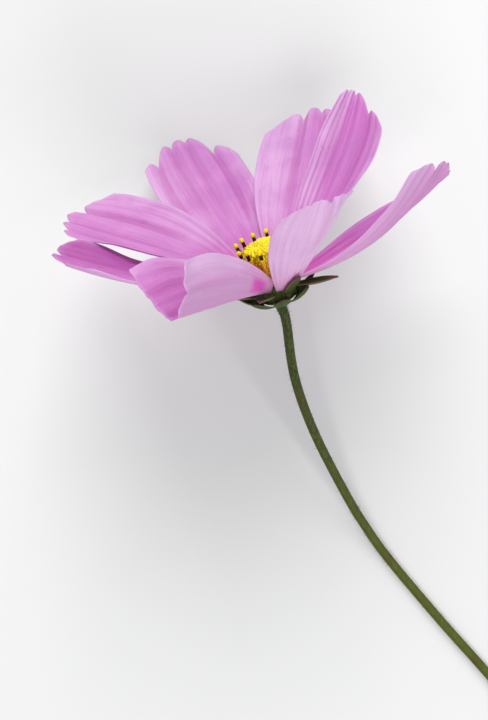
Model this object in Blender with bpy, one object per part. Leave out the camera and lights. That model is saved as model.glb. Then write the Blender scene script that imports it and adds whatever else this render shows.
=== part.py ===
"""A cosmos flower as picked: one open flower head on its cut stem, lying on a flat surface.

Sizes are in metres. The surface is the plane z = 0, +Z is up, and the origin lies on the surface
under the middle of the flower's box. The head is modelled in its own frame, which an empty then
tips over: there the origin is the middle of the ring that the petals grow from, +Z runs along the
flower's axis out of its face, and azimuths are in degrees round that axis.
"""

import math
from dataclasses import dataclass

import bmesh
import bpy
from mathutils import Euler, Matrix, Vector

MM = 0.001
GAP = 0.3 * MM  # clearance that neighbouring pieces keep

# How the head lies: its axis rises from the surface, turned a little away from +Y.
HEAD_AT = Vector((-8.35, 28.85, 31.9)) * MM
HEAD_ELEVATION = 25.0
HEAD_TURN = 17.0

PETAL_THICKNESS = 0.30 * MM
PETAL_RING = 4.7 * MM
WIDEST_AT = 0.68
SHOULDER = 0.16  # how much shorter the side edges are than the midrib
SHOULDER_POWER = 2.2
NOTCH_SPREAD = 0.13
PETAL_ROWS = 10
PETAL_COLUMNS = 14
FLAT = 1e-4  # a roll smaller than this is treated as none
MIDRIB_STEPS = 40

BRACT_THICKNESS = 0.30 * MM
BRACT_CURL = 22.0
BRACT_FULLNESS = 0.8  # below 1 moves a bract's widest place towards its base
BRACT_TIP = 0.06
BRACT_ROWS = 6
BRACT_COLUMNS = 4
OUTER_BRACT_RING = 3.2 * MM
OUTER_BRACT_DROP = 3.7 * MM
OUTER_BRACT_LENGTH = 5.9 * MM
OUTER_BRACT_WIDTH = 3.65 * MM
OUTER_BRACT_FOOT = 0.55  # width at the base, as a share of the widest
OUTER_BRACT_LEAN = (70, 56, 36)  # from the flower's axis: at the base, half way and at the tip
INNER_BRACT_RING = 4.6 * MM
INNER_BRACT_DROP = 1.0 * MM
INNER_BRACT_LENGTH = 8.2 * MM
INNER_BRACT_WIDTH = 3.0 * MM
INNER_BRACT_FOOT = 0.6
INNER_BRACT_EXTRA_LEAN = 2
INNER_BRACT_SPAN = 0.2  # share of a petal's length that its bract runs along

# Outlines turned round an axis, as (radius, height) from the foot up.
DISC_OUTLINE = (
    (2.4, 0.3), (2.5, 1.6), (2.9, 3.0), (3.2, 4.4), (3.5, 6.0), (3.9, 7.2), (4.2, 7.9), (3.7, 8.4),
    (2.2, 8.7),
)
FLORET_OUTLINE = (
    (0.30, 0.0), (0.32, 4.5), (0.50, 6.0), (0.55, 6.7), (0.36, 6.9), (0.36, 8.4), (0.20, 8.9),
)
FLARE_OUTLINE = (  # the receptacle, as (share of its radius, height), from the head down
    (1.0, 0.0), (1.0, -0.9), (1.10, -1.6), (1.12, -2.3), (0.90, -3.0), (0.55, -3.8), (0.32, -4.7),
)
DISC_SEGMENTS = 28
FLORET_SEGMENTS = 10
OPEN_FLORETS = 12
FLORET_FOOT = (3.35 * MM, 1.1 * MM)  # radius and height where an open floret's tube starts
FLORET_LEAN = 14.0

STEM_RADIUS = 0.95 * MM
STEM_SWELLING = 0.15  # how much thicker the stem is where it leaves the receptacle
STEM_ROUNDNESS = 2
STEM_STEPS = 4  # points of the finished route for each one of its own
RECEPTACLE_RADIUS = 3.9 * MM

PETAL_PINK = (0.72, 0.27, 0.62)
OUTER_BRACT_GREEN = (0.08, 0.13, 0.04)
INNER_BRACT_OLIVE = (0.30, 0.30, 0.16)
DISC_YELLOW = (0.80, 0.55, 0.03)
STEM_GREEN = (0.09, 0.13, 0.03)
PETAL_ROUGHNESS = 0.55
MATT_ROUGHNESS = 0.6


@dataclass(frozen=True)
class Petal:
    """One ray floret. Angles are in degrees, lengths in metres."""

    root: float  # azimuth where the claw leaves the ring
    heading: float  # azimuth that the blade runs towards
    rise: float  # how far above the ring's level the claw starts
    lean: tuple  # angle from the flower's axis at the claw, half way and at the tip
    length: float
    claw: float  # half width of the claw where it leaves the ring
    width: float
    left_share: float  # how much of the width lies to the left of the midrib
    tip_share: float  # half width at the tip, as a share of the widest
    slant: float  # how much further the left side reaches than the right, as a share of the length
    fold_left: tuple  # how far the left half is folded up at the midrib: claw, half way and tip
    curl_left: tuple  # how far the left half rolls up beyond that, from the midrib to its edge
    fold_right: tuple
    curl_right: tuple
    twist: tuple  # turn about the midrib, at the claw, half way and at the tip
    notches: tuple  # (place across the tip from -1 to 1, depth as a share of the length)


PETALS = (
    Petal(-20, 4, 0, (90, 68, 45), 38 * MM, 1.6 * MM, 15.5 * MM, 0.5, 0.75, 0.0,
          (0, 0, 0), (75, 60, 15), (0, 0, 0), (70, 60, 15), (0, -14, -62),
          ((-0.35, 0.08), (0.35, 0.06))),
    Petal(25, 46, 0.6 * MM, (56, 60, 38), 41.5 * MM, 1.6 * MM, 17 * MM, 0.36, 0.52, 0.10,
          (10, 58, 64), (32, 14, 0), (0, 0, 0), (50, 30, 20), (0, 0, 0),
          ((-0.4, 0.07), (0.1, 0.04), (0.55, 0.04))),
    Petal(70, 63, 0.3 * MM, (66, 66, 54), 43 * MM, 1.6 * MM, 20 * MM, 0.5, 0.75, -0.01,
          (0, 0, 0), (50, 30, 20), (0, 0, 0), (-10, -20, -15), (0, 0, 0),
          ((-0.25, 0.04), (0.22, 0.07))),
    Petal(115, 101, 0, (68, 67, 52), 45.5 * MM, 1.6 * MM, 21 * MM, 0.5, 0.80, 0.03,
          (0, 0, 0), (50, 25, 15), (0, 0, 0), (-10, -15, -10), (0, 0, 0),
          ((-0.55, 0.10), (-0.1, 0.04), (0.25, 0.05), (0.68, 0.09))),
    Petal(160, 149, 0.5 * MM, (55, 66, 70), 41.5 * MM, 1.6 * MM, 21.5 * MM, 0.5, 0.75, 0.0,
          (0, 0, 0), (50, 40, 20), (0, 0, 0), (50, 40, 10), (0, 0, 0),
          ((-0.4, 0.07), (0.1, 0.06), (0.5, 0.08))),
    Petal(205, 186, 0, (66, 59, 51), 41 * MM, 1.6 * MM, 22.8 * MM, 0.51, 0.60, 0.0,
          (0, 0, 0), (50, 30, 25), (0, 0, 0), (14, 2, 40), (0, 0, 0),
          ((-0.3, 0.06), (0.35, 0.07))),
    Petal(250, 238, 0, (66, 70, 70), 37.5 * MM, 2.3 * MM, 26 * MM, 0.42, 0.85, 0.0,
          (50, 72, 68), (30, 40, 35), (40, 43, 40), (20, 5, 0), (0, 0, 0),
          ((-0.5, 0.05), (-0.1, 0.04), (0.5, 0.05))),
    Petal(295, 292, -0.3 * MM, (50, 46, 42), 35.5 * MM, 2.4 * MM, 17.6 * MM, 0.56, 0.66, -0.01,
          (0, 0, 0), (20, 42, 20), (0, 0, 0), (20, 50, 30), (0, 0, -6),
          ((-1.0, 0.08), (0.25, 0.05))),
)

# The stem's route: first two heights on the head's axis, then points down to the cut end whose
# places are measured from the head's origin and whose heights are measured from the surface.
STEM_START = (-5.5, -9.0)
STEM_ROUTE = (
    (4.2, -18.6, 21.0),
    (8.5, -30.1, 13.2),
    (15.4, -43.3, 5.6),
    (19.8, -50.4, 2.7),
    (24.8, -57.3, 1.2),
    (35.6, -70.1, 1.0),
    (47.0, -83.0, 1.0),
    (58.0, -97.0, 1.0),
)


def clear_scene():
    for obj in list(bpy.data.objects):
        bpy.data.objects.remove(obj)


def material(name, colour, roughness):
    made = bpy.data.materials.new(name)
    made.use_nodes = True
    shader = made.node_tree.nodes["Principled BSDF"]
    shader.inputs["Base Color"].default_value = (*colour, 1.0)
    shader.inputs["Roughness"].default_value = roughness
    shader.inputs["Metallic"].default_value = 0.0
    return made


def add_object(name, data, finish, parent):
    obj = bpy.data.objects.new(name, data)
    bpy.context.scene.collection.objects.link(obj)
    data.materials.append(finish)
    obj.parent = parent
    return obj


def through(values, share):
    """The value at this share of the way along a smooth course from first through middle to last."""
    first, middle, last = values
    rise = 4 * middle - 3 * first - last
    bend = 2 * (first + last - 2 * middle)
    return first + rise * share + bend * share * share


def midrib(root, radius, height, heading, lean, length):
    """Points and directions along a blade's midrib, as (point, along, side, up) from root to tip."""
    azimuth = math.radians(root)
    point = Vector((math.cos(azimuth) * radius, math.sin(azimuth) * radius, height))
    frames = []
    turn = math.radians(heading)
    outward = Vector((math.cos(turn), math.sin(turn), 0))
    side = Vector((-math.sin(turn), math.cos(turn), 0))
    for step in range(MIDRIB_STEPS + 1):
        tilt = math.radians(through(lean, step / MIDRIB_STEPS))
        along = outward * math.sin(tilt) + Vector((0, 0, math.cos(tilt)))
        frames.append((point.copy(), along, side, along.cross(side)))
        point += along * (length / MIDRIB_STEPS)
    return frames


def frame_at(frames, share):
    place = min(max(share, 0.0), 1.0) * (len(frames) - 1)
    index = min(int(place), len(frames) - 2)
    part = place - index
    return [a.lerp(b, part) for a, b in zip(frames[index], frames[index + 1])]


def section_offset(across, fold, curl, side, up):
    """A point's place off the midrib when its half of the blade is folded and then rolled up."""
    sign = math.copysign(1.0, across)
    if abs(curl) < FLAT:
        return abs(across) * (sign * math.cos(fold) * side + math.sin(fold) * up)
    radius = abs(across) / curl
    sideways = math.sin(fold + curl) - math.sin(fold)
    upwards = math.cos(fold) - math.cos(fold + curl)
    return radius * (sign * sideways * side + upwards * up)


def petal_half_width(petal, share, left):
    widest = petal.width * (petal.left_share if left else 1 - petal.left_share)
    claw = petal.claw / widest
    if share < WIDEST_AT:
        grown = math.sin(math.pi / 2 * share / WIDEST_AT)
        return widest * (claw + (1 - claw) * grown)
    past = (share - WIDEST_AT) / (1 - WIDEST_AT)
    return widest * (1 - (1 - petal.tip_share) * past * past)


def petal_reach(petal, across):
    """How far the blade reaches along the midrib at this place across it, with its toothed tip."""
    reach = 1 + petal.slant * across - SHOULDER * abs(across) ** SHOULDER_POWER
    for place, depth in petal.notches:
        reach -= depth * math.exp(-abs(across - place) / NOTCH_SPREAD)
    return reach


def petal_point(petal, frames, share, across):
    share *= petal_reach(petal, across)
    point, along, side, up = frame_at(frames, share)
    twist = math.radians(through(petal.twist, share))
    turned_side = side * math.cos(twist) + up * math.sin(twist)
    turned_up = up * math.cos(twist) - side * math.sin(twist)
    left = across > 0
    fold = math.radians(through(petal.fold_left if left else petal.fold_right, share))
    curl = math.radians(through(petal.curl_left if left else petal.curl_right, share))
    offset = petal_half_width(petal, share, left) * across
    return point + section_offset(offset, fold, curl * abs(across), turned_side, turned_up)


def blade_mesh(name, rows, columns, place):
    """A sheet of rows by columns whose points are place(share along, place across)."""
    sheet = bmesh.new()
    bmesh.ops.create_grid(sheet, x_segments=columns, y_segments=rows, size=1.0)
    for vertex in sheet.verts:
        vertex.co = place((vertex.co.y + 1) / 2, vertex.co.x)
    bmesh.ops.recalc_face_normals(sheet, faces=sheet.faces)
    mesh = bpy.data.meshes.new(name)
    sheet.to_mesh(mesh)
    sheet.free()
    mesh.shade_smooth()
    return mesh


def thicken(obj, thickness):
    solidify = obj.modifiers.new("Thickness", "SOLIDIFY")
    solidify.thickness = thickness
    solidify.offset = 0.0
    solidify.use_even_offset = True


def add_petals(head):
    finish = material("petal", PETAL_PINK, PETAL_ROUGHNESS)
    for number, petal in enumerate(PETALS, start=1):
        frames = midrib(petal.root, PETAL_RING, GAP + petal.rise, petal.heading, petal.lean, petal.length)
        name = f"petal_{number}"
        mesh = blade_mesh(name, PETAL_ROWS, PETAL_COLUMNS,
                          lambda share, across: petal_point(petal, frames, share, across))
        thicken(add_object(name, mesh, finish, head), PETAL_THICKNESS)


def bract_point(frames, width, base_share, share, across):
    """A place on a pointed bract, whose half width at its base is base_share of its widest."""
    point, along, side, up = frame_at(frames, share)
    fullness = math.sin(math.pi * share ** BRACT_FULLNESS)
    taper = base_share * (1 - share) + BRACT_TIP * share
    half_width = width / 2 * (taper + (1 - taper) * fullness)
    curl = math.radians(BRACT_CURL) * abs(across)
    return point + section_offset(half_width * across, 0, curl, side, up)


def add_bract(name, frames, width, base_share, finish, head):
    mesh = blade_mesh(name, BRACT_ROWS, BRACT_COLUMNS,
                      lambda share, across: bract_point(frames, width, base_share, share, across))
    thicken(add_object(name, mesh, finish, head), BRACT_THICKNESS)


def add_bracts(head):
    """Two rings: thin inner bracts, one behind each petal, and cupped green outer ones between."""
    outer_finish = material("outer_bract", OUTER_BRACT_GREEN, MATT_ROUGHNESS)
    inner_finish = material("inner_bract", INNER_BRACT_OLIVE, MATT_ROUGHNESS)
    for number, petal in enumerate(PETALS, start=1):
        lean = [through(petal.lean, share * INNER_BRACT_SPAN) + INNER_BRACT_EXTRA_LEAN
                for share in (0, 0.5, 1)]
        frames = midrib(petal.root, INNER_BRACT_RING, -INNER_BRACT_DROP, petal.root, lean,
                        INNER_BRACT_LENGTH)
        add_bract(f"inner_bract_{number}", frames, INNER_BRACT_WIDTH, INNER_BRACT_FOOT, inner_finish, head)
        between = petal.root + 180 / len(PETALS)
        frames = midrib(between, OUTER_BRACT_RING, -OUTER_BRACT_DROP, between, OUTER_BRACT_LEAN,
                        OUTER_BRACT_LENGTH)
        add_bract(f"outer_bract_{number}", frames, OUTER_BRACT_WIDTH, OUTER_BRACT_FOOT,
                  outer_finish, head)


def turned_mesh(name, outline, segments):
    """A closed solid turned round +Z from an outline of (radius, height) pairs in millimetres."""
    solid = bmesh.new()
    rings = []
    for radius, height in outline:
        angles = [2 * math.pi * i / segments for i in range(segments)]
        rings.append([
            solid.verts.new((radius * MM * math.cos(a), radius * MM * math.sin(a), height * MM))
            for a in angles
        ])
    for low, high in zip(rings, rings[1:]):
        for i in range(segments):
            j = (i + 1) % segments
            solid.faces.new((low[i], low[j], high[j], high[i]))
    solid.faces.new(rings[0][::-1])
    solid.faces.new(rings[-1])
    mesh = bpy.data.meshes.new(name)
    solid.to_mesh(mesh)
    solid.free()
    mesh.shade_smooth()
    return mesh


def add_disc(head):
    """The mound of florets still in bud, and the open ones round its rim, each with its anthers."""
    yellow = material("disc_yellow", DISC_YELLOW, MATT_ROUGHNESS)
    add_object("disc_florets", turned_mesh("disc_florets", DISC_OUTLINE, DISC_SEGMENTS), yellow, head)
    radius, height = FLORET_FOOT
    for number in range(OPEN_FLORETS):
        azimuth = 2 * math.pi * (number + 0.5) / OPEN_FLORETS
        name = f"open_floret_{number + 1:02d}"
        floret = add_object(name, turned_mesh(name, FLORET_OUTLINE, FLORET_SEGMENTS), yellow, head)
        floret.location = (radius * math.cos(azimuth), radius * math.sin(azimuth), height)
        floret.rotation_euler = (0, math.radians(FLORET_LEAN), azimuth)


def smooth_route(points, steps):
    """Points on one smooth curve through the given ones (Catmull-Rom)."""
    ends = [2 * points[0] - points[1], *points, 2 * points[-1] - points[-2]]
    made = []
    for a, b, c, d in zip(ends, ends[1:], ends[2:], ends[3:]):
        for step in range(steps):
            f = step / steps
            made.append(0.5 * (2 * b + (c - a) * f + (2 * a - 5 * b + 4 * c - d) * f * f
                               + (3 * b - a - 3 * c + d) * f ** 3))
    return [*made, points[-1]]


def add_stem(head_matrix):
    """The stem and the receptacle that it widens into, as one tube of changing thickness."""
    route = [head_matrix @ Vector((0, 0, height * MM)) for height in STEM_START]
    route += [Vector((HEAD_AT.x + x * MM, HEAD_AT.y + y * MM, z * MM)) for x, y, z in STEM_ROUTE]
    route = smooth_route(route, STEM_STEPS)
    curve = bpy.data.curves.new("stem", "CURVE")
    curve.dimensions = "3D"
    curve.bevel_depth = STEM_RADIUS
    curve.bevel_resolution = STEM_ROUNDNESS
    curve.use_fill_caps = True
    spline = curve.splines.new("POLY")
    spline.points.add(len(FLARE_OUTLINE) + len(route) - 1)
    for point, (share, height) in zip(spline.points, FLARE_OUTLINE):
        point.co = (*(head_matrix @ Vector((0, 0, height * MM))), 1)
        point.radius = RECEPTACLE_RADIUS * share / STEM_RADIUS
    for index, place in enumerate(route):
        point = spline.points[len(FLARE_OUTLINE) + index]
        point.co = (*place, 1)
        point.radius = 1 + STEM_SWELLING * math.exp(-index)
    return add_object("stem", curve, material("stem_green", STEM_GREEN, MATT_ROUGHNESS), None)


def main():
    clear_scene()
    head = bpy.data.objects.new("head", None)
    bpy.context.scene.collection.objects.link(head)
    turn = Euler((math.radians(HEAD_ELEVATION - 90), 0, math.radians(HEAD_TURN)))
    head.location = HEAD_AT
    head.rotation_euler = turn
    head_matrix = Matrix.Translation(HEAD_AT) @ turn.to_matrix().to_4x4()
    add_petals(head)
    add_bracts(head)
    add_disc(head)
    add_stem(head_matrix)


main()
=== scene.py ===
# %% [markdown]
# # A cosmos flower, picked and laid down
#
# One open flower head on its cut stem. The model of it comes in first and stays where it is.
# Each piece is then made again in fine detail in the same place, and the plain solid that it
# stands for is hidden.

# %% The frame
import math
import random
from dataclasses import dataclass

import bmesh
import bpy
from mathutils import Euler, Matrix, Vector


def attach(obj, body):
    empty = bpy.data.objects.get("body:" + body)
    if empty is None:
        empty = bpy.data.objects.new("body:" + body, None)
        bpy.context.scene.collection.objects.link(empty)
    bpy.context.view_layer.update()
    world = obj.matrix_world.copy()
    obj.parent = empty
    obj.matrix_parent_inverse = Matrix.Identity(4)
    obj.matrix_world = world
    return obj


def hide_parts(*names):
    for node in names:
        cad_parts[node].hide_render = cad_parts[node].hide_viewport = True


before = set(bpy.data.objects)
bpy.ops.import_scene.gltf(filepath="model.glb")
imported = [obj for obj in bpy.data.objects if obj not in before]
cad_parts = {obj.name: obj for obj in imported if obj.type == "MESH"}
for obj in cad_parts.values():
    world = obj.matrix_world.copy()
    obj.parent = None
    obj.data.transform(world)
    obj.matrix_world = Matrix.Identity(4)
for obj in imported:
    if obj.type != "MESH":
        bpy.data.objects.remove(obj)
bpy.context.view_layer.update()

MM = 0.001

# %% [markdown]
# ## The flower's own axes
#
# A flower is easiest to describe in its own frame: the origin is the middle of the ring that the
# petals grow from, +Z runs out of the face, and azimuths go round that axis. The whole head is
# tipped over at the end by one matrix, because the picked flower lies on
# the edge of one petal and on its stem.

# %% Head frame
HEAD_AT = Vector((-8.35, 28.85, 31.9)) * MM
HEAD_ELEVATION = 25.0
HEAD_TURN = 17.0

head_turn = Euler((math.radians(HEAD_ELEVATION - 90), 0, math.radians(HEAD_TURN)))
head_matrix = Matrix.Translation(HEAD_AT) @ head_turn.to_matrix().to_4x4()
print("the flower faces", tuple(round(v, 2) for v in head_matrix.to_3x3() @ Vector((0, 0, 1))))

# %% [markdown]
# ## Camera and light
#
# The flower is seen square on to its stem, so with the flower lying down the camera looks straight
# down at it. A long lens keeps the near petals from swelling. The light is that of a bright
# overcast sky: two large lamps of nearly the same strength, one beyond the flower's face and one
# on the near side, and a pale world that fills the folds.

# %% Camera
CAMERA_HEIGHT = 390 * MM
CAMERA_SHIFT = Vector((-6.0, -15.0)) * MM  # from the middle of the head, across the surface

camera_data = bpy.data.cameras.new("camera")
camera_data.lens = 100
camera = bpy.data.objects.new("camera", camera_data)
camera.location = (
    HEAD_AT.x + CAMERA_SHIFT.x, HEAD_AT.y + CAMERA_SHIFT.y, HEAD_AT.z + CAMERA_HEIGHT,
)
bpy.context.scene.collection.objects.link(camera)
bpy.context.scene.camera = camera
print("camera at", tuple(round(v / MM) for v in camera.location), "mm")

# %% Lamps and world
WORLD_COLOUR = (0.93, 0.96, 1.0, 1.0)
WORLD_STRENGTH = 0.42


def add_lamp(name, place, size, power):
    """A square area lamp that faces the flower head."""
    data = bpy.data.lights.new(name, "AREA")
    data.size = size
    data.energy = power
    lamp = bpy.data.objects.new(name, data)
    lamp.location = Vector(place)
    lamp.rotation_euler = (HEAD_AT - lamp.location).to_track_quat("-Z", "Y").to_euler()
    bpy.context.scene.collection.objects.link(lamp)
    print(name, "gives", power, "W")


add_lamp("sky_lamp", (-0.10, 0.75, 0.60), 0.6, 8.6)
add_lamp("near_lamp", (0.25, -0.60, 0.80), 0.8, 9.5)
world = bpy.data.worlds.new("studio")
world.use_nodes = True
background = world.node_tree.nodes["Background"]
background.inputs["Color"].default_value = WORLD_COLOUR
background.inputs["Strength"].default_value = WORLD_STRENGTH
bpy.context.scene.world = world
bpy.context.scene.view_settings.view_transform = "Standard"

# %% [markdown]
# ## Writing materials as arithmetic
#
# A petal's colour is a sum of small effects: streaks, folds, a paler margin. Wired by hand that
# is a wall of Math nodes, so a small class stands for one number that varies over the surface,
# and ordinary + - * on it adds the nodes. Every other node goes through one method.

# %% Shader helpers
class Field:
    """A number that varies over a surface. Arithmetic on it adds Math nodes."""

    def __init__(self, finish, socket):
        self.finish = finish
        self.socket = socket

    def __add__(self, other):
        return self.finish.math("ADD", self, other)

    def __sub__(self, other):
        return self.finish.math("SUBTRACT", self, other)

    def __rsub__(self, other):
        return self.finish.math("SUBTRACT", other, self)

    def __mul__(self, other):
        return self.finish.math("MULTIPLY", self, other)

    __radd__ = __add__
    __rmul__ = __mul__


class Finish:
    """A material being wired up."""

    def __init__(self, name):
        self.material = bpy.data.materials.new(name)
        self.material.use_nodes = True
        self.tree = self.material.node_tree
        self.tree.nodes.clear()

    def node(self, kind, settings=None, inputs=None):
        """Any node: its settings are set first, then the values or links of its sockets."""
        made = self.tree.nodes.new(kind)
        for name, value in (settings or {}).items():
            setattr(made, name, value)
        for name, value in (inputs or {}).items():
            if isinstance(value, Field):
                value = value.socket
            if isinstance(value, bpy.types.NodeSocket):
                self.tree.links.new(value, made.inputs[name])
            else:
                made.inputs[name].default_value = value
        return made

    def math(self, operation, *values):
        made = self.node("ShaderNodeMath", {"operation": operation}, dict(enumerate(values)))
        return Field(self, made.outputs[0])

    def step(self, value, low, high):
        """0 below low, 1 above high, and a smooth rise between."""
        made = self.node("ShaderNodeMapRange", {"interpolation_type": "SMOOTHSTEP"},
                         {"Value": value, "From Min": low, "From Max": high})
        return Field(self, made.outputs["Result"])

    def noise(self, where, scale, detail=2.0, roughness=0.5):
        made = self.node("ShaderNodeTexNoise", {"noise_dimensions": "3D"},
                         {"Vector": where, "Scale": scale, "Detail": detail,
                          "Roughness": roughness})
        return Field(self, made.outputs[0])

    def mix(self, share, first, second):
        """A colour between two others."""
        made = self.node("ShaderNodeMix", {"data_type": "RGBA"}, {0: share, 6: first, 7: second})
        return made.outputs[2]

    def colours(self, share, *stops):
        """A colour picked from evenly spaced stops."""
        last = len(stops) - 1
        shade = stops[0]
        for index in range(last):
            between = self.step(share, index / last, (index + 1) / last)
            shade = self.mix(between, shade, stops[index + 1])
        return shade

    def attribute(self, name):
        made = self.node("ShaderNodeAttribute", {"attribute_name": name})
        return Field(self, made.outputs["Fac"])

    def place(self):
        """The point's place on the object, as a vector in metres."""
        return self.node("ShaderNodeTexCoord").outputs["Object"]

    def stretched(self, where, scale):
        """A vector with each of its parts multiplied by its own factor."""
        made = self.node("ShaderNodeVectorMath", {"operation": "MULTIPLY"}, {0: where, 1: scale})
        return made.outputs[0]

    def bump(self, height, distance):
        made = self.node("ShaderNodeBump", None,
                         {"Height": height, "Distance": distance, "Strength": 1.0})
        return made.outputs["Normal"]

    def done(self, shader):
        self.node("ShaderNodeOutputMaterial", None, {"Surface": shader})
        print("finish:", self.material.name, "with", len(self.tree.nodes), "nodes")
        return self.material


# %% [markdown]
# ## The rule of a blade
#
# A ray floret is one thin blade: a narrow claw, a broad middle and a toothed tip. Its midrib
# bends away from the flower's axis, and each half rolls up about that midrib by its own amount,
# more at the claw and less at the tip, sometimes with a fold along the midrib. No single tool
# bends a sheet by a different amount at every place, so each blade starts as a grid, as by hand,
# and its points are then put where these few rules say.

# %% Midrib
MIDRIB_STEPS = 40


def through(values, share):
    """The value this far along a smooth course from first through middle to last."""
    first, middle, last = values
    rise = 4 * middle - 3 * first - last
    bend = 2 * (first + last - 2 * middle)
    return first + rise * share + bend * share * share


def midrib(root, radius, height, heading, lean, length):
    """Points and directions along a midrib, as (point, along, side, up) from root to tip."""
    azimuth = math.radians(root)
    point = Vector((math.cos(azimuth) * radius, math.sin(azimuth) * radius, height))
    turn = math.radians(heading)
    outward = Vector((math.cos(turn), math.sin(turn), 0))
    side = Vector((-math.sin(turn), math.cos(turn), 0))
    frames = []
    for step in range(MIDRIB_STEPS + 1):
        tilt = math.radians(through(lean, step / MIDRIB_STEPS))
        along = outward * math.sin(tilt) + Vector((0, 0, math.cos(tilt)))
        frames.append((point.copy(), along, side, along.cross(side)))
        point += along * (length / MIDRIB_STEPS)
    return frames


def frame_at(frames, share):
    place = min(max(share, 0.0), 1.0) * (len(frames) - 1)
    index = min(int(place), len(frames) - 2)
    part = place - index
    return [a.lerp(b, part) for a, b in zip(frames[index], frames[index + 1])]


# %% Cross-section
FOLD_ROUNDING = 0.16  # share of the half width over which a fold at the midrib turns
SECTION_STEPS = 9


def smooth(value):
    value = min(max(value, 0.0), 1.0)
    return value * value * (3 - 2 * value)


def section(fold, curl, across):
    """How far sideways and upwards a half blade has gone at this place, and its slope there."""
    reach = abs(across)
    sideways = upwards = 0.0
    for step in range(SECTION_STEPS):
        at = reach * (step + 0.5) / SECTION_STEPS
        angle = fold * smooth(at / FOLD_ROUNDING) + curl * at
        sideways += math.cos(angle)
        upwards += math.sin(angle)
    slope = fold * smooth(reach / FOLD_ROUNDING) + curl * reach
    return sideways * reach / SECTION_STEPS, upwards * reach / SECTION_STEPS, slope


print("a half blade rolled up by 60 degrees:",
      [round(v, 2) for v in section(0, math.radians(60), 1)])

# %% [markdown]
# ## The eight petals
#
# Each petal gets a line of numbers: where it roots, where it points, how it leans, rolls and
# twists, and where its tip is notched. They differ because real ones do: one on the right has
# turned over, one in front is folded like a trough, and one stands up and shows its back.

# %% Petal table
@dataclass(frozen=True)
class Petal:
    """One ray floret. Angles are in degrees, lengths in metres."""

    root: float  # azimuth where the claw leaves the ring
    heading: float  # azimuth that the blade runs towards
    rise: float
    lean: tuple  # angle from the flower's axis: claw, half way and tip
    length: float
    claw: float  # half width of the claw where it leaves the ring
    width: float
    left_share: float  # how much of the width lies to the left of the midrib
    tip_share: float  # half width at the tip, as a share of the widest
    slant: float  # how much further the left side reaches than the right
    curl: tuple  # roll of the left half, then of the right: claw, half way and tip
    notches: tuple  # (place across the tip from -1 to 1, depth as a share of the length)
    tone: tuple  # colour depth at right edge, midrib, left edge; partly painted shade on petal 6
    fold: tuple = ((0, 0, 0), (0, 0, 0))
    twist: tuple = (0, 0, 0)
    overlap_shade: tuple = ()  # places along and across of a patch of painted deep pink shade, where it has one


PETALS = (
    Petal(-20, 4, 0, (90, 68, 45), 38 * MM, 1.6 * MM, 15.5 * MM, 0.5, 0.75, 0.0,
          ((75, 60, 15), (70, 60, 15)),
          ((-0.35, 0.08), (0.0, 0.02), (0.35, 0.06)), (0.5, 0.9, 0.9), twist=(0, -14, -62)),
    Petal(25, 46, 0.6 * MM, (56, 60, 38), 41.5 * MM, 1.6 * MM, 17 * MM, 0.36, 0.52, 0.10,
          ((32, 14, 0), (50, 30, 20)),
          ((-0.4, 0.07), (0.1, 0.04), (0.33, 0.03), (0.55, 0.04)), (0.1, 0.55, -0.9),
          fold=((10, 58, 64), (0, 0, 0))),
    Petal(70, 63, 0.3 * MM, (66, 66, 54), 43 * MM, 1.6 * MM, 20 * MM, 0.5, 0.75, -0.01,
          ((50, 30, 20), (-10, -20, -15)),
          ((-0.25, 0.04), (0.22, 0.07)), (0.1, 0.35, -0.7)),
    Petal(115, 101, 0, (68, 67, 52), 45.5 * MM, 1.6 * MM, 21 * MM, 0.5, 0.80, 0.03,
          ((50, 25, 15), (-10, -15, -10)),
          ((-0.55, 0.10), (-0.1, 0.04), (0.25, 0.05), (0.68, 0.09)), (0.1, 0.4, 0.0)),
    Petal(160, 149, 0.5 * MM, (55, 66, 70), 41.5 * MM, 1.6 * MM, 21.5 * MM, 0.5, 0.75, 0.0,
          ((50, 40, 20), (50, 40, 10)),
          ((-0.4, 0.07), (0.1, 0.06), (0.5, 0.08)), (0.1, 0.4, 0.3)),
    # Petal 6 is deep from its right edge to the midrib: pigment with painted shade, where petal 5
    # lies over it.
    Petal(205, 186, 0, (66, 59, 51), 41 * MM, 1.6 * MM, 22.8 * MM, 0.51, 0.60, 0.0,
          ((50, 30, 25), (14, 2, 40)),
          ((-0.3, 0.06), (0.35, 0.07)), (1.0, 0.9, 0.1)),
    Petal(250, 238, 0, (66, 70, 70), 37.5 * MM, 2.3 * MM, 26 * MM, 0.42, 0.85, 0.0,
          ((30, 40, 35), (20, 5, 0)),
          ((-0.5, 0.05), (-0.1, 0.04), (0.5, 0.05)), (0.2, 0.8, -0.1),
          fold=((50, 72, 68), (40, 43, 40)), overlap_shade=(0.18, 0.42)),
    Petal(295, 292, -0.3 * MM, (50, 46, 42), 35.5 * MM, 2.4 * MM, 17.6 * MM, 0.56, 0.66, -0.01,
          ((20, 42, 20), (20, 50, 30)),
          ((-1.0, 0.08), (-0.4, 0.01), (0.25, 0.05)), (-0.7, -0.1, -0.7), twist=(0, 0, -6)),
)
print(len(PETALS), "petals,", [round(petal.length / MM) for petal in PETALS], "mm long")
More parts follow.
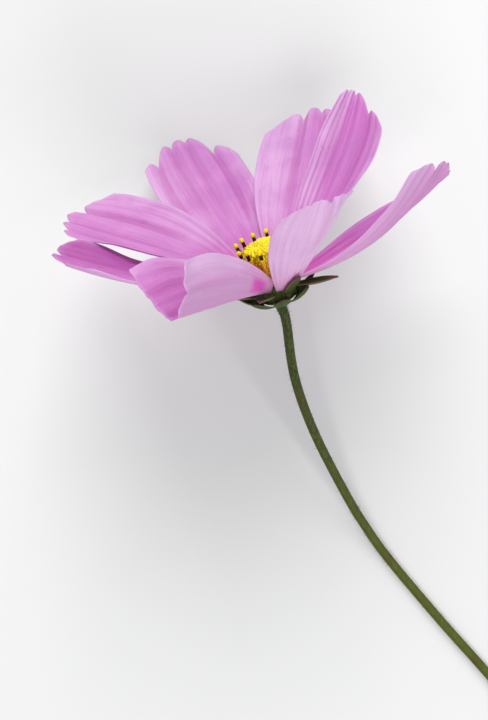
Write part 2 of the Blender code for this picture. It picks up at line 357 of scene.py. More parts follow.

# %% [markdown]
# ### Outline and relief
#
# The tip has rounded lobes with narrow notches, and from every notch a furrow runs back down the
# blade, so the face is fluted. Between the furrows lie finer pleats, and the free edges ripple a
# little. The depth of the furrows is also kept as a painted value on each point, because the
# material darkens them with painted shade and needs to know where they are.

# %% Outline and relief rules
PETAL_RING = 4.7 * MM
CLAW_LIFT = 0.3 * MM
WIDEST_AT = 0.68
SHOULDER = 0.16
SHOULDER_POWER = 2.2
NOTCH_SPREAD = 0.11
FURROW_DEPTH = 0.45 * MM
FURROW_SPREAD = 0.10
FURROW_START = 0.12
FURROW_RISE = 0.5
FULL_CUT = 0.07  # a notch this deep has a furrow of the full depth
PLEAT_HEIGHT = 0.10 * MM
PLEATS = 9.0
PLEAT_RISE = 0.3
RIPPLE_HEIGHT = 0.24 * MM
RIPPLE_START = 0.25
RIPPLE_RISE = 0.4
RIPPLE_SLANT = 2
RIPPLES = 17.0
EDGE_START = 0.6  # how far across the free edges begin


def petal_half_width(petal, share, left):
    widest = petal.width * (petal.left_share if left else 1 - petal.left_share)
    claw = petal.claw / widest
    if share < WIDEST_AT:
        return widest * (claw + (1 - claw) * math.sin(math.pi / 2 * share / WIDEST_AT))
    past = (share - WIDEST_AT) / (1 - WIDEST_AT)
    return widest * (1 - (1 - petal.tip_share) * past * past)


def petal_reach(petal, across):
    """How far the blade reaches along its midrib at this place across it."""
    reach = 1 + petal.slant * across - SHOULDER * abs(across) ** SHOULDER_POWER
    for place, depth in petal.notches:
        reach -= depth * math.exp(-abs(across - place) / NOTCH_SPREAD)
    return reach


def furrows(petal, share, across):
    """How deep in a furrow this place is, from 0 to about 1."""
    depth = 0.0
    for place, cut in petal.notches:
        aside = (across - place) / FURROW_SPREAD
        depth += math.exp(-aside * aside) * min(1.0, cut / FULL_CUT)
    return depth * smooth((share - FURROW_START) / FURROW_RISE)


def relief(petal, share, across, phase):
    """Height above the smooth blade: furrows, pleats and a ripple along each free edge."""
    pleats = math.cos(PLEATS * math.pi * across + phase) * smooth(share / PLEAT_RISE)
    edge = smooth((abs(across) - EDGE_START) / (1 - EDGE_START))
    ripple = math.sin(RIPPLES * share + phase + RIPPLE_SLANT * across) * edge
    ripple *= smooth((share - RIPPLE_START) / RIPPLE_RISE)
    cut = FURROW_DEPTH * furrows(petal, share, across)
    return PLEAT_HEIGHT * pleats + RIPPLE_HEIGHT * ripple - cut


# %% Putting a petal's points in place
def petal_place(petal, frames, share, across, phase):
    """The point at this share along and place across, and how deep in a furrow it is."""
    down = share * petal_reach(petal, across)
    point, along, side, up = frame_at(frames, down)
    twist = math.radians(through(petal.twist, down))
    turned_side = side * math.cos(twist) + up * math.sin(twist)
    turned_up = up * math.cos(twist) - side * math.sin(twist)
    half = 0 if across > 0 else 1
    fold = math.radians(through(petal.fold[half], down))
    curl = math.radians(through(petal.curl[half], down))
    sideways, upwards, slope = section(fold, curl, across)
    width = petal_half_width(petal, down, across > 0)
    sign = math.copysign(1.0, across)
    normal = turned_up * math.cos(slope) - turned_side * (sign * math.sin(slope))
    point = point + turned_side * (sign * sideways * width) + turned_up * (upwards * width)
    return point + normal * relief(petal, down, across, phase), furrows(petal, down, across)


# %% [markdown]
# ### From grid to petal
#
# A grid primitive already carries a tidy UV map, with u across and v along. That map stays on the
# bent petal, so streaks drawn in it fan out from the claw as real veins do. Solidify then gives
# the sheet its thickness, and its material offset gives the inside face and the back a finish
# each, because the back of a cosmos petal is much paler.

# %% Blade helper
PATCH_LENGTH = 0.08
PATCH_WIDTH = 0.24


def start_grid(name, columns, rows):
    """A new grid from -1 to 1, alone in the selection."""
    bpy.ops.object.select_all(action="DESELECT")
    bpy.ops.mesh.primitive_grid_add(x_subdivisions=columns, y_subdivisions=rows, size=2)
    piece = bpy.context.object
    piece.name = name
    piece.data.name = name
    return piece


def patch(overlap_shade, share, across):
    """How strong the painted pink shade of the patch is here, from 0 to 1."""
    if not overlap_shade:
        return 0.0
    along = (share - overlap_shade[0]) / PATCH_LENGTH
    aside = (across - overlap_shade[1]) / PATCH_WIDTH
    return math.exp(-along ** 4 - aside ** 4)


def finish_blade(piece, thickness, place, inside, outside, tone=(0, 0, 0), overlap_shade=()):
    """Bends the grid by place(share, across), thickens it and gives each face its finish."""
    furrow = piece.data.attributes.new("furrow", "FLOAT", "POINT")
    depth = piece.data.attributes.new("depth", "FLOAT", "POINT")
    patches = piece.data.attributes.new("overlap_shade", "FLOAT", "POINT")
    for index, vertex in enumerate(piece.data.vertices):
        share, across = (vertex.co.y + 1) / 2, vertex.co.x
        depth.data[index].value = through(tone, (across + 1) / 2)
        patches.data[index].value = patch(overlap_shade, share, across)
        vertex.co, furrow.data[index].value = place(share, across)
    piece.data.transform(head_matrix)
    piece.data.materials.append(outside)  # the sheet's own face looks out of the flower's back
    piece.data.materials.append(inside)
    solidify = piece.modifiers.new("thickness", "SOLIDIFY")
    solidify.thickness = thickness
    solidify.offset = 0.0
    solidify.material_offset = 1
    solidify.material_offset_rim = 1
    bpy.ops.object.modifier_apply(modifier=solidify.name)
    bpy.ops.object.shade_smooth()


def settle(piece, slot, *nodes):
    """Rides the piece on the flower in place of the plain solids that it stands for."""
    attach(piece, "root")
    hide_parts(*nodes)


# %% [markdown]
# ### Petal finishes
#
# The inside of a petal is a cool pink, deepest where it nears the disc and darkened with painted
# shade in its furrows, with a hair-fine fan of veins, soft mauve clouds and a pale margin. The
# back is a pale lilac with the same veins showing through. A petal lets a good part of the light
# through, so each finish is a mix of a soft surface and a translucent one, which makes the folds
# glow instead of going grey. The petal that is folded like a trough has one deep pink patch of
# painted shade near its claw, where light comes through the petal over it, on both faces.

# %% Petal finishes
PETAL_INSIDE = {
    "pale": (0.80, 0.48, 0.78, 1), "pink": (0.68, 0.25, 0.62, 1), "deep": (0.50, 0.085, 0.40, 1),
    "vein": (0.52, 0.12, 0.47, 1), "base": (0.74, 0.13, 0.56, 1), "mauve": (0.58, 0.27, 0.62, 1),
    "overlap_shade": (0.80, 0.12, 0.62, 1),
}
PETAL_OUTSIDE = {
    "pale": (0.80, 0.60, 0.80, 1), "pink": (0.76, 0.46, 0.73, 1), "deep": (0.66, 0.26, 0.59, 1),
    "vein": (0.68, 0.38, 0.65, 1), "base": (0.80, 0.46, 0.70, 1), "mauve": (0.72, 0.52, 0.75, 1),
    "overlap_shade": (0.80, 0.10, 0.62, 1),
}


def petal_finish(name, shades, glow_share):
    finish = Finish(name)
    uv = finish.node("ShaderNodeUVMap").outputs["UV"]
    parts = finish.node("ShaderNodeSeparateXYZ", None, {0: uv})
    across = Field(finish, parts.outputs["X"])
    along = Field(finish, parts.outputs["Y"])
    streaks = finish.noise(finish.stretched(uv, (22.0, 1.2, 1.0)), 1.0, 3.0, 0.6)
    veins = finish.noise(finish.stretched(uv, (90.0, 2.4, 1.0)), 1.0, 2.0, 0.55)
    clouds = finish.noise(finish.place(), 110.0, 2.0, 0.55)
    specks = finish.noise(finish.place(), 900.0, 1.0, 0.5)
    edge = finish.math("ABSOLUTE", across - 0.5) * 2
    # Each petal's tone with streaks and clouds; on petal 6 the tone holds painted shade.
    depth = finish.attribute("depth") + (streaks - 0.5) * 0.6 + (clouds - 0.5) * 0.6
    tint = finish.mix(finish.step(depth, -0.1, 0.55), shades["pale"], shades["pink"])
    tint = finish.mix(finish.step(depth, 0.5, 1.3), tint, shades["deep"])
    tint = finish.mix(finish.step(clouds, 0.46, 0.66) * 0.35, tint, shades["mauve"])
    tint = finish.mix(finish.step(veins, 0.48, 0.70) * 0.35, tint, shades["vein"])
    # Painted shade: the furrows are tinted towards the deep colour.
    furrow = finish.step(finish.attribute("furrow"), 0.1, 0.9)
    tint = finish.mix(furrow * 0.35, tint, shades["deep"])
    tint = finish.mix((1 - finish.step(along, 0.02, 0.40)) * 0.75, tint, shades["base"])
    tint = finish.mix(finish.step(specks, 0.66, 0.74) * 0.18, tint, shades["deep"])
    # Painted shade: a deep pink patch where light comes through an overlapping petal.
    tint = finish.mix(finish.attribute("overlap_shade") * 0.9, tint, shades["overlap_shade"])
    margin = finish.step(edge, 0.88, 1.0) + finish.step(along, 0.95, 1.0) * 0.6
    tint = finish.mix(margin * 0.5, tint, shades["pale"])
    normal = finish.bump(streaks * 0.5 + veins * 0.5, 0.20 * MM)
    surface = finish.node("ShaderNodeBsdfPrincipled", None, {
        "Base Color": tint, "Roughness": 0.5, "Normal": normal, "Specular IOR Level": 0.3,
        "Sheen Weight": 0.12, "Sheen Roughness": 0.4,
    })
    glow = finish.node("ShaderNodeBsdfTranslucent", None, {"Color": tint, "Normal": normal})
    both = finish.node("ShaderNodeMixShader", None,
                       {0: glow_share, 1: surface.outputs[0], 2: glow.outputs[0]})
    return finish.done(both.outputs[0])


petal_inside = petal_finish("petal_inside", PETAL_INSIDE, 0.34)
petal_outside = petal_finish("petal_outside", PETAL_OUTSIDE, 0.42)

# %% Making the petals
PETAL_COLUMNS = 72
PETAL_ROWS = 84
PETAL_SHEET = 0.16 * MM

for number, petal in enumerate(PETALS, start=1):
    frames = midrib(petal.root, PETAL_RING, CLAW_LIFT + petal.rise, petal.heading, petal.lean,
                    petal.length)
    piece = start_grid(f"petal_{number}_blade", PETAL_COLUMNS, PETAL_ROWS)
    finish_blade(piece, PETAL_SHEET,
                 lambda share, across: petal_place(petal, frames, share, across, 1.7 * number),
                 petal_inside, petal_outside, petal.tone, petal.overlap_shade)
    settle(piece, "petal", f"petal_{number}")
    print(piece.name, len(piece.data.polygons), "faces")

# %% [markdown]
# ## Bracts
#
# Two rings of bracts hold the head. The inner ones are thin and papery, and each backs one petal.
# The outer ones are short, dark green and fleshy, and their lean falls off towards the tip, so
# that together they make a cup round the receptacle. Both are blades by the same rule, with a
# simpler outline that comes to a point.

# %% Bract rules
BRACT_SHEET = 0.24 * MM
BRACT_FULLNESS = 0.8
BRACT_TIP = 0.06
BRACT_CURL = 22.0
BRACT_COLUMNS = 14
BRACT_ROWS = 26
INNER_BRACT = {
    "ring": 4.6 * MM, "drop": 1.0 * MM, "length": 8.2 * MM, "width": 3.0 * MM, "foot": 0.6,
}
OUTER_BRACT = {
    "ring": 3.2 * MM, "drop": 3.7 * MM, "length": 5.9 * MM, "width": 3.65 * MM, "foot": 0.55,
}
INNER_BRACT_EXTRA_LEAN = 2
INNER_BRACT_SPAN = 0.2
OUTER_BRACT_LEAN = (70, 56, 36)  # degrees from the flower's axis: base, half way and tip
BRACT_RIB_SPREAD = 0.14
BRACT_RIB_DEPTH = 0.12 * MM
BRACT_PLEAT_HEIGHT = 0.10 * MM
BRACT_PLEATS = 5


def bract_place(frames, sizes, share, across):
    """The point this far along a bract and across it, with its rib as the furrow."""
    point, along, side, up = frame_at(frames, share)
    fullness = math.sin(math.pi * share ** BRACT_FULLNESS)
    taper = sizes["foot"] * (1 - share) + BRACT_TIP * share
    half_width = sizes["width"] / 2 * (taper + (1 - taper) * fullness)
    sideways, upwards, slope = section(0, math.radians(BRACT_CURL), across)
    sign = math.copysign(1.0, across)
    rib = math.exp(-(across / BRACT_RIB_SPREAD) ** 2)
    lift = BRACT_PLEAT_HEIGHT * math.cos(BRACT_PLEATS * math.pi * across) * fullness
    lift -= BRACT_RIB_DEPTH * rib
    return point + side * (sign * sideways * half_width) + up * (upwards * half_width + lift), rib


# %% Bract finishes
def bract_finish(name, body, rib, tip, margin, glow_share):
    finish = Finish(name)
    uv = finish.node("ShaderNodeUVMap").outputs["UV"]
    parts = finish.node("ShaderNodeSeparateXYZ", None, {0: uv})
    along = Field(finish, parts.outputs["Y"])
    edge = finish.math("ABSOLUTE", Field(finish, parts.outputs["X"]) - 0.5) * 2
    streaks = finish.noise(finish.stretched(uv, (22.0, 1.2, 1.0)), 1.0, 3.0, 0.6)
    tint = finish.mix(finish.step(streaks, 0.35, 0.7), body, rib)
    tint = finish.mix(finish.attribute("furrow") * 0.5, tint, rib)
    tint = finish.mix(finish.step(edge, 0.62, 0.98) * 0.8, tint, margin)
    tint = finish.mix(finish.step(along, 0.74, 0.97), tint, tip)
    surface = finish.node("ShaderNodeBsdfPrincipled", None, {
        "Base Color": tint, "Roughness": 0.55, "Normal": finish.bump(streaks, 0.08 * MM),
        "Specular IOR Level": 0.2,
    })
    glow = finish.node("ShaderNodeBsdfTranslucent", None, {"Color": tint})
    both = finish.node("ShaderNodeMixShader", None,
                       {0: glow_share, 1: surface.outputs[0], 2: glow.outputs[0]})
    return finish.done(both.outputs[0])


outer_green = bract_finish("outer_bract_green", (0.026, 0.048, 0.006, 1), (0.060, 0.095, 0.015, 1),
                           (0.07, 0.035, 0.030, 1), (0.085, 0.115, 0.025, 1), 0.10)
inner_paper = bract_finish("inner_bract_paper", (0.07, 0.085, 0.02, 1), (0.04, 0.055, 0.012, 1),
                           (0.20, 0.045, 0.09, 1), (0.17, 0.13, 0.07, 1), 0.2)

# %% Making the bracts
def add_bract(name, frames, sizes, finish, slot):
    piece = start_grid(f"{name}_blade", BRACT_COLUMNS, BRACT_ROWS)
    finish_blade(piece, BRACT_SHEET,
                 lambda share, across: bract_place(frames, sizes, share, across),
                 finish, finish)
    settle(piece, slot, name)


for number, petal in enumerate(PETALS, start=1):
    lean = [through(petal.lean, share * INNER_BRACT_SPAN) + INNER_BRACT_EXTRA_LEAN
            for share in (0, 0.5, 1)]
    frames = midrib(petal.root, INNER_BRACT["ring"], -INNER_BRACT["drop"], petal.root, lean,
                    INNER_BRACT["length"])
    add_bract(f"inner_bract_{number}", frames, INNER_BRACT, inner_paper, "inner_bract")
    between = petal.root + 180 / len(PETALS)
    frames = midrib(between, OUTER_BRACT["ring"], -OUTER_BRACT["drop"], between,
                    OUTER_BRACT_LEAN, OUTER_BRACT["length"])
    add_bract(f"outer_bract_{number}", frames, OUTER_BRACT, outer_green, "outer_bract")
print("two rings of", len(PETALS), "bracts")

# %% [markdown]
# ## The disc
#
# The yellow middle is a crowd of tiny tubular florets. Those in the centre are still buds, packed
# in the spiral that sunflowers show too: each next bud is turned by the golden angle, and its
# distance grows as the square root of its count. Rows of smaller ones go down the side. The
# mound under them is a disc of edges pulled up and scaled ring by ring, as on a lathe.

# %% Lathe and copying helpers
def lathe(name, outline, segments):
    """A closed solid pulled up ring by ring through (radius, height) pairs in millimetres."""
    bpy.ops.object.select_all(action="DESELECT")
    radius, height = outline[0]
    bpy.ops.mesh.primitive_circle_add(vertices=segments, radius=radius * MM, fill_type="NGON",
                                      location=(0, 0, height * MM))
    piece = bpy.context.object
    piece.name = name
    bpy.ops.object.transform_apply(location=True, rotation=True, scale=True)
    bpy.ops.object.mode_set(mode="EDIT")
    bpy.ops.mesh.select_all(action="SELECT")
    for next_radius, next_height in outline[1:]:
        bpy.ops.mesh.extrude_region_move(
            TRANSFORM_OT_translate={"value": (0, 0, (next_height - height) * MM)})
        share = next_radius / radius
        bpy.ops.transform.resize(value=(share, share, 1), center_override=(0, 0, next_height * MM))
        radius, height = next_radius, next_height
    bpy.ops.mesh.select_all(action="SELECT")
    bpy.ops.mesh.normals_make_consistent(inside=False)
    bpy.ops.object.mode_set(mode="OBJECT")
    bpy.ops.object.shade_smooth()
    return piece


def add_copies(piece, pattern, places):
    """Adds a copy of the pattern's mesh to the piece at each of the places, given as matrices."""
    gathered = bmesh.new()
    gathered.from_mesh(piece.data)
    for place in places:
        copy = pattern.data.copy()
        copy.transform(place)
        gathered.from_mesh(copy)
        bpy.data.meshes.remove(copy)
    gathered.to_mesh(piece.data)
    gathered.free()


def facing(point, direction, size=1.0, spin=0.0):
    """A matrix that puts a shape at a point with its +Z along a direction."""
    turn = direction.to_track_quat("Z", "Y").to_matrix().to_4x4()
    return Matrix.Translation(point) @ turn @ Matrix.Rotation(spin, 4, "Z") @ Matrix.Scale(size, 4)


# %% Disc finishes
def disc_finish(name, low, middle, high):
    """A granular yellow, darker and more orange lower down the head's axis: painted shade."""
    finish = Finish(name)
    place = finish.place()
    grain = finish.noise(place, 2600.0, 3.0, 0.6)
    patches = finish.noise(place, 600.0, 1.0)
    height = finish.attribute("height")
    tint = finish.colours(height + grain * 0.30 - 0.15, low, middle, high)
    tint = finish.mix(finish.step(patches, 0.45, 0.65) * 0.5, tint, (0.62, 0.38, 0.0, 1))
    surface = finish.node("ShaderNodeBsdfPrincipled", None, {
        "Base Color": tint, "Roughness": 0.6, "Normal": finish.bump(grain, 0.12 * MM),
        "Subsurface Weight": 0.2, "Subsurface Radius": (0.6 * MM, 0.4 * MM, 0.1 * MM),
        "Subsurface Scale": 1.0,
    })
    return finish.done(surface.outputs[0])


# Both yellows are darker and more orange at the foot: painted shade low among the florets.
bud_yellow = disc_finish("bud_yellow", (0.78, 0.52, 0.0, 1), (0.80, 0.64, 0.0, 1),
                         (0.80, 0.72, 0.0, 1))
tube_yellow = disc_finish("tube_yellow", (0.66, 0.48, 0.04, 1), (0.78, 0.54, 0.01, 1),
                          (0.86, 0.70, 0.01, 1))


def shade_by_height(piece, low, high):
    """Stores on each point how far up the piece it is, from 0 to 1, before the head is tipped."""
    heights = piece.data.attributes.new("height", "FLOAT", "POINT")
    for vertex, shade in zip(piece.data.vertices, heights.data):
        shade.value = min(max((vertex.co.z - low) / (high - low), 0.0), 1.0)


# %% Mound and buds
DISC_OUTLINE = (
    (2.4, 0.3), (2.4, 1.6), (2.6, 3.0), (2.9, 4.4), (3.2, 6.0), (3.5, 7.2), (3.6, 7.7), (3.2, 8.1),
    (2.0, 8.3), (0.4, 8.4),
)
BUD_OUTLINE = (
    (0.22, -0.5), (0.34, 0.0), (0.44, 0.35), (0.40, 0.6), (0.26, 0.78), (0.07, 0.86),
)
BUDS = 120
BUD_FIELD = 3.65 * MM  # radius of the circle that the buds fill
DOME_TOP = 8.3 * MM
DOME_DROP = 0.95 * MM  # how much lower the rim of the buds is than their middle
SIDE_ROWS = 6  # rows of smaller buds down the mound's side
SIDE_BUDS = 22
SIDE_RADII = (2.45 * MM, 3.3 * MM)
SIDE_HEIGHTS = (2.8 * MM, 7.3 * MM)
SIDE_UPTURN = 1.3
GOLDEN_ANGLE = math.pi * (3 - math.sqrt(5))

chance = random.Random(11)
bud = lathe("bud_pattern", BUD_OUTLINE, 8)
disc = lathe("disc_mound", DISC_OUTLINE, 40)
bud_places = []
for count in range(BUDS):
    share = math.sqrt((count + 0.5) / BUDS)
    turn = count * GOLDEN_ANGLE
    outward = Vector((math.cos(turn), math.sin(turn), 0))
    point = outward * (share * BUD_FIELD)
    point.z = DOME_TOP - DOME_DROP * share ** 3
    direction = Vector((0, 0, 1)) + outward * (0.75 * share ** 2)
    bud_places.append(facing(point, direction, chance.uniform(0.82, 1.12), chance.uniform(0, 6)))
for row in range(SIDE_ROWS):
    level = (row + 0.5) / SIDE_ROWS
    radius = SIDE_RADII[0] + (SIDE_RADII[1] - SIDE_RADII[0]) * level
    height = SIDE_HEIGHTS[0] + (SIDE_HEIGHTS[1] - SIDE_HEIGHTS[0]) * level
    for count in range(SIDE_BUDS):
        turn = 2 * math.pi * (count + row / 2) / SIDE_BUDS + chance.uniform(-0.04, 0.04)
        outward = Vector((math.cos(turn), math.sin(turn), 0))
        point = outward * radius + Vector((0, 0, height))
        direction = outward + Vector((0, 0, SIDE_UPTURN))
        size, spin = chance.uniform(0.7, 0.95), chance.uniform(0, 6)
        bud_places.append(facing(point, direction, size, spin))
add_copies(disc, bud, bud_places)
bpy.data.objects.remove(bud)
shade_by_height(disc, 3.5 * MM, 8.2 * MM)
disc.data.materials.append(bud_yellow)
disc.data.transform(head_matrix)
disc.name = "disc_buds"
settle(disc, "disc_yellow", "disc_florets")
print(disc.name, "has", len(bud_places), "buds and", len(disc.data.polygons), "faces")

# %% [markdown]
# ## Open florets
#
# Round the rim the florets are open. Each is a slender tube that widens to five small lobes bent
# back like a star. Out of it stands the anther tube, nearly black and ribbed, with a cap of
# yellow pollen. The tube is pulled up on the lathe, one lobe is bent from a small grid and copied
# round its mouth, and one finished floret is copied round the rim with its own mesh each time.

# %% Floret patterns
FLORET_FOOT = (3.35 * MM, 1.1 * MM)
FLORET_LEAN = 14.0
OPEN_FLORETS = 12
LOBES = 5
TUBE_OUTLINE = (
    (0.20, 0.0), (0.28, 0.1), (0.30, 2.5), (0.33, 4.5), (0.42, 5.6), (0.52, 6.2), (0.53, 6.5),
    (0.46, 6.6), (0.40, 6.4),
)
ANTHER_OUTLINE = (
    (0.20, 6.2), (0.34, 6.4), (0.38, 7.1), (0.37, 7.8), (0.33, 8.1), (0.20, 8.25),
)
CAP_OUTLINE = (
    (0.22, 8.05), (0.38, 8.12), (0.46, 8.3), (0.46, 8.5), (0.39, 8.7), (0.24, 8.86), (0.10, 8.92),
)
GROOVE_DEPTH = 0.13

tube = lathe("tube_pattern", TUBE_OUTLINE, 20)
anther = lathe("anther_pattern", ANTHER_OUTLINE, 20)
cap = lathe("cap_pattern", CAP_OUTLINE, 14)
for vertex in anther.data.vertices:
    turn = math.atan2(vertex.co.y, vertex.co.x)
    groove = 1 - GROOVE_DEPTH * (0.5 + 0.5 * math.cos(LOBES * turn))
    vertex.co.x *= groove
    vertex.co.y *= groove
for vertex in cap.data.vertices:
    vertex.co *= chance.uniform(0.985, 1.02)


# %% Lobes of an open floret
LOBE_HALF_WIDTH = 0.26  # these are in millimetres
LOBE_TIP = 0.01
LOBE_RING = 0.42
LOBE_REACH = 0.26
LOBE_FOOT = 6.35
LOBE_RISE = 0.42
LOBE_TAPER = 0.6
LOBE_BEND = 1.5
LOBE_ARCH = 2.2
LOBE_SHEET = 0.12 * MM


def add_lobe_pattern():
    """One small pointed lobe, bent outwards, standing at the mouth of the tube."""
    piece = start_grid("lobe_pattern", 4, 6)
    for vertex in piece.data.vertices:
        share = (vertex.co.y + 1) / 2
        half_width = LOBE_HALF_WIDTH * math.cos(share * math.pi / 2) ** LOBE_TAPER + LOBE_TIP
        outward = LOBE_RING + LOBE_REACH * math.sin(LOBE_BEND * share)
        height = LOBE_FOOT + LOBE_RISE * math.sin(LOBE_ARCH * share)
        vertex.co = Vector((outward, vertex.co.x * half_width, height)) * MM
    solidify = piece.modifiers.new("thickness", "SOLIDIFY")
    solidify.thickness = LOBE_SHEET
    solidify.offset = 0.0
    bpy.ops.object.modifier_apply(modifier=solidify.name)
    bpy.ops.object.shade_smooth()
    return piece


lobe = add_lobe_pattern()
star = [Matrix.Rotation(2 * math.pi * count / LOBES, 4, "Z") for count in range(LOBES)]
add_copies(tube, lobe, star)
bpy.data.objects.remove(lobe)
floret_faces = sum(len(pattern.data.polygons) for pattern in (tube, anther, cap))
print("one open floret:", floret_faces, "faces")

# %% Anther and pollen finishes
def plain_finish(name, dark, light, scale, depth, roughness):
    """Two close shades in a fine grain."""
    finish = Finish(name)
    grain = finish.noise(finish.place(), scale, 3.0, 0.6)
    surface = finish.node("ShaderNodeBsdfPrincipled", None, {
        "Base Color": finish.mix(finish.step(grain, 0.35, 0.7), dark, light),
        "Roughness": roughness, "Normal": finish.bump(grain, depth), "Specular IOR Level": 0.15,
    })
    return finish.done(surface.outputs[0])


anther_brown = plain_finish("anther_brown", (0.010, 0.004, 0.003, 1), (0.050, 0.017, 0.008, 1),
                            3000.0, 0.04 * MM, 0.55)
pollen_yellow = plain_finish("pollen_yellow", (0.84, 0.60, 0.0, 1), (0.93, 0.84, 0.01, 1),
                             4200.0, 0.10 * MM, 0.75)

# %% Making the open florets
shade_by_height(tube, 3.0 * MM, 6.6 * MM)
tube.data.materials.append(tube_yellow)
anther.data.materials.append(anther_brown)
cap.data.materials.append(pollen_yellow)
radius, height = FLORET_FOOT
for number in range(OPEN_FLORETS):
    azimuth = 2 * math.pi * (number + 0.5) / OPEN_FLORETS
    foot = Vector((radius * math.cos(azimuth), radius * math.sin(azimuth), height))
    turn = Euler((0, math.radians(FLORET_LEAN), azimuth)).to_matrix().to_4x4()
    place = head_matrix @ Matrix.Translation(foot) @ turn
    spin = Matrix.Rotation(chance.uniform(0, 6), 4, "Z")
    short = Matrix.Translation((0, 0, -chance.uniform(0, 0.7) * MM))
    bpy.ops.object.select_all(action="DESELECT")
    copies = []
    for pattern, own in ((tube, spin), (anther, short @ spin), (cap, short @ spin)):
        copy = bpy.data.objects.new(pattern.name, pattern.data.copy())
        bpy.context.scene.collection.objects.link(copy)
        copy.data.transform(place @ own)
        copy.select_set(True)
        copies.append(copy)
    bpy.context.view_layer.objects.active = copies[0]
    bpy.ops.object.join()
    floret = copies[0]
    floret.name = f"open_floret_{number + 1:02d}_full"
    settle(floret, "disc_yellow", f"open_floret_{number + 1:02d}")
for pattern in (tube, anther, cap):
    bpy.data.objects.remove(pattern)
print(OPEN_FLORETS, "open florets")

# %% [markdown]
# ## Stem and hairs
#
# The stem is slender, ribbed lengthwise and finely hairy. It widens into the receptacle under the
# head. A curve with a ribbed profile swept along it gives ribs that follow every bend, and the
# radius of each point gives the flare. It is made a mesh at the end so that its place can be kept
# in its points, and then one hair is modelled and copied over it.

# %% Stem route
STEM_RADIUS = 0.95 * MM
RECEPTACLE_RADIUS = 3.9 * MM
STEM_SWELLING = 0.15
SWELLING_FALL = 4
STEM_START = (-5.5, -9.0)
STEM_ROUTE = (
    (4.2, -18.6, 21.0), (8.5, -30.1, 13.2), (15.4, -43.3, 5.6), (19.8, -50.4, 2.7),
    (24.8, -57.3, 1.2), (35.6, -70.1, 1.0), (47.0, -83.0, 1.0), (58.0, -97.0, 1.0),
)
FLARE_OUTLINE = (
    (1.0, 0.0), (1.0, -0.9), (1.10, -1.6), (1.12, -2.3), (0.90, -3.0), (0.55, -3.8), (0.32, -4.7),
)
ROUTE_STEPS = 8


def smooth_route(points, steps):
    """Points on one smooth curve through the given ones."""
    ends = [2 * points[0] - points[1], *points, 2 * points[-1] - points[-2]]
    made = []
    for a, b, c, d in zip(ends, ends[1:], ends[2:], ends[3:]):
        for step in range(steps):
            f = step / steps
            made.append(0.5 * (2 * b + (c - a) * f + (2 * a - 5 * b + 4 * c - d) * f * f
                               + (3 * b - a - 3 * c + d) * f ** 3))
    return [*made, points[-1]]


on_surface = [Vector((HEAD_AT.x + x * MM, HEAD_AT.y + y * MM, z * MM)) for x, y, z in STEM_ROUTE]
under_head = [head_matrix @ Vector((0, 0, depth * MM)) for depth in STEM_START]
route = smooth_route([*under_head, *on_surface], ROUTE_STEPS)
stations = [(head_matrix @ Vector((0, 0, height * MM)), RECEPTACLE_RADIUS * share)
            for share, height in FLARE_OUTLINE]
swellings = [math.exp(-index * SWELLING_FALL / ROUTE_STEPS) for index in range(len(route))]
stations += [(point, STEM_RADIUS * (1 + STEM_SWELLING * swelling))
             for point, swelling in zip(route, swellings)]
stem_length = sum((b - a).length for a, b in zip(route, route[1:]))
print("stem:", round(stem_length / MM), "mm from the head to its cut end")

# %% Sweeping the ribbed profile
RIBS = 8
RIB_MEAN = 0.96  # shares of the stem's radius
RIB_HEIGHT = 0.04
PROFILE_POINTS = 48


def add_curve(name, points, cyclic):
    """A straight-edged curve through points given as (x, y, z, radius)."""
    data = bpy.data.curves.new(name, "CURVE")
    data.dimensions = "3D"
    spline = data.splines.new("POLY")
    spline.points.add(len(points) - 1)
    for knot, (x, y, z, size) in zip(spline.points, points):
        knot.co = (x, y, z, 1)
        knot.radius = size
    spline.use_cyclic_u = cyclic
    curve = bpy.data.objects.new(name, data)
    bpy.context.scene.collection.objects.link(curve)
    return curve


ring = []
for index in range(PROFILE_POINTS):
    turn = 2 * math.pi * index / PROFILE_POINTS
    rib = RIB_MEAN + RIB_HEIGHT * math.cos(RIBS * turn)
    ring.append((rib * math.cos(turn), rib * math.sin(turn), 0, 1))
profile = add_curve("stem_profile", ring, True)
stem = add_curve("stem_ribbed", [(*point, size) for point, size in stations], False)
stem.data.bevel_mode = "OBJECT"
stem.data.bevel_object = profile
stem.data.use_fill_caps = True
bpy.ops.object.select_all(action="DESELECT")
stem.select_set(True)
bpy.context.view_layer.objects.active = stem
bpy.ops.object.convert(target="MESH")
bpy.data.objects.remove(profile)
bpy.ops.object.mode_set(mode="EDIT")
bpy.ops.mesh.select_all(action="SELECT")
bpy.ops.mesh.remove_doubles(threshold=0.0001 * MM)
bpy.ops.mesh.normals_make_consistent(inside=False)
bpy.ops.object.mode_set(mode="OBJECT")
bpy.ops.object.shade_smooth()
print("stem swept,", len(stem.data.polygons), "faces")

# %% Hairs
HAIRS = 520  # tried; those that would touch the surface are left out
HAIR_START = 3  # the stations before this one are bare
HAIR_ROOT = 0.92  # share of the stem's radius at which a hair starts
HAIR_REACH = 0.6 * MM
HAIR_CLEARANCE = 0.05 * MM
HAIR_OUTLINE = ((0.030, 0.0), (0.022, 0.25), (0.006, 0.62))

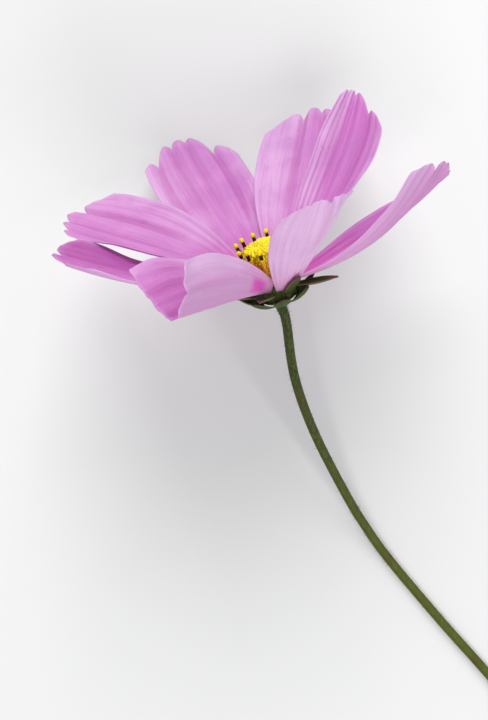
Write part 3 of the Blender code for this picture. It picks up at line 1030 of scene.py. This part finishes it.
hair = lathe("hair_pattern", HAIR_OUTLINE, 4)
hair_places = []
for count in range(HAIRS):
    at = chance.uniform(HAIR_START, len(stations) - 1.01)
    index = int(at)
    (low, low_size), (high, high_size) = stations[index], stations[index + 1]
    centre = low.lerp(high, at - index)
    along = (high - low).normalized()
    aside = along.orthogonal().normalized()
    aside.rotate(Matrix.Rotation(chance.uniform(0, 2 * math.pi), 3, along))
    size = low_size + (high_size - low_size) * (at - index)
    direction = aside + along * chance.uniform(-0.5, 0.2)
    point = centre + aside * (size * HAIR_ROOT)
    if point.z + HAIR_REACH * direction.normalized().z > HAIR_CLEARANCE:
        hair_places.append(facing(point, direction, chance.uniform(0.6, 1.25)))
add_copies(stem, hair, hair_places)
bpy.data.objects.remove(hair)
print(len(hair_places), "hairs")

# %% [markdown]
# ### Stem finish
#
# The stem is dark green under the head and turns olive towards its foot, with fine lighter
# streaks along it and brownish blotches. Its surface coordinates are those of the model, so the
# change of colour is simply a change along the direction that the stem runs in.

# %% Stem finish
OLIVE_FROM = -0.040  # places along Y, in metres, between which the stem turns dark green
DARK_FROM = 0.020


def stem_finish():
    finish = Finish("stem_green")
    place = finish.place()
    parts = finish.node("ShaderNodeSeparateXYZ", None, {0: place})
    down = finish.step(Field(finish, parts.outputs["Y"]), OLIVE_FROM, DARK_FROM)
    streaks = finish.noise(finish.stretched(place, (2600.0, 260.0, 2600.0)), 1.0, 3.0, 0.6)
    blotches = finish.noise(place, 220.0, 2.0)
    tint = finish.mix(down, (0.060, 0.075, 0.006, 1), (0.020, 0.032, 0.005, 1))
    tint = finish.mix(finish.step(streaks, 0.4, 0.7) * 0.5, tint, (0.11, 0.13, 0.020, 1))
    tint = finish.mix(finish.step(blotches, 0.5, 0.75) * 0.5, tint, (0.07, 0.045, 0.010, 1))
    surface = finish.node("ShaderNodeBsdfPrincipled", None, {
        "Base Color": tint, "Roughness": 0.55, "Normal": finish.bump(streaks, 0.05 * MM),
        "Specular IOR Level": 0.2,
    })
    return finish.done(surface.outputs[0])


stem.data.materials.clear()
stem.data.materials.append(stem_finish())
settle(stem, "stem_green", "stem")

# %% [markdown]
# ## The surface
#
# A plain pale floor, a little rough, so that the petal and the stem that
# touch it show a soft contact shadow.

# %% Floor
bpy.ops.object.select_all(action="DESELECT")
bpy.ops.mesh.primitive_plane_add(size=6, location=(0, 0, 0))
floor = bpy.context.object
floor.name = "floor"
floor_finish = Finish("floor_pale")
floor_shader = floor_finish.node("ShaderNodeBsdfPrincipled", None,
                                 {"Base Color": (0.62, 0.62, 0.61, 1), "Roughness": 0.8})
floor.data.materials.append(floor_finish.done(floor_shader.outputs[0]))
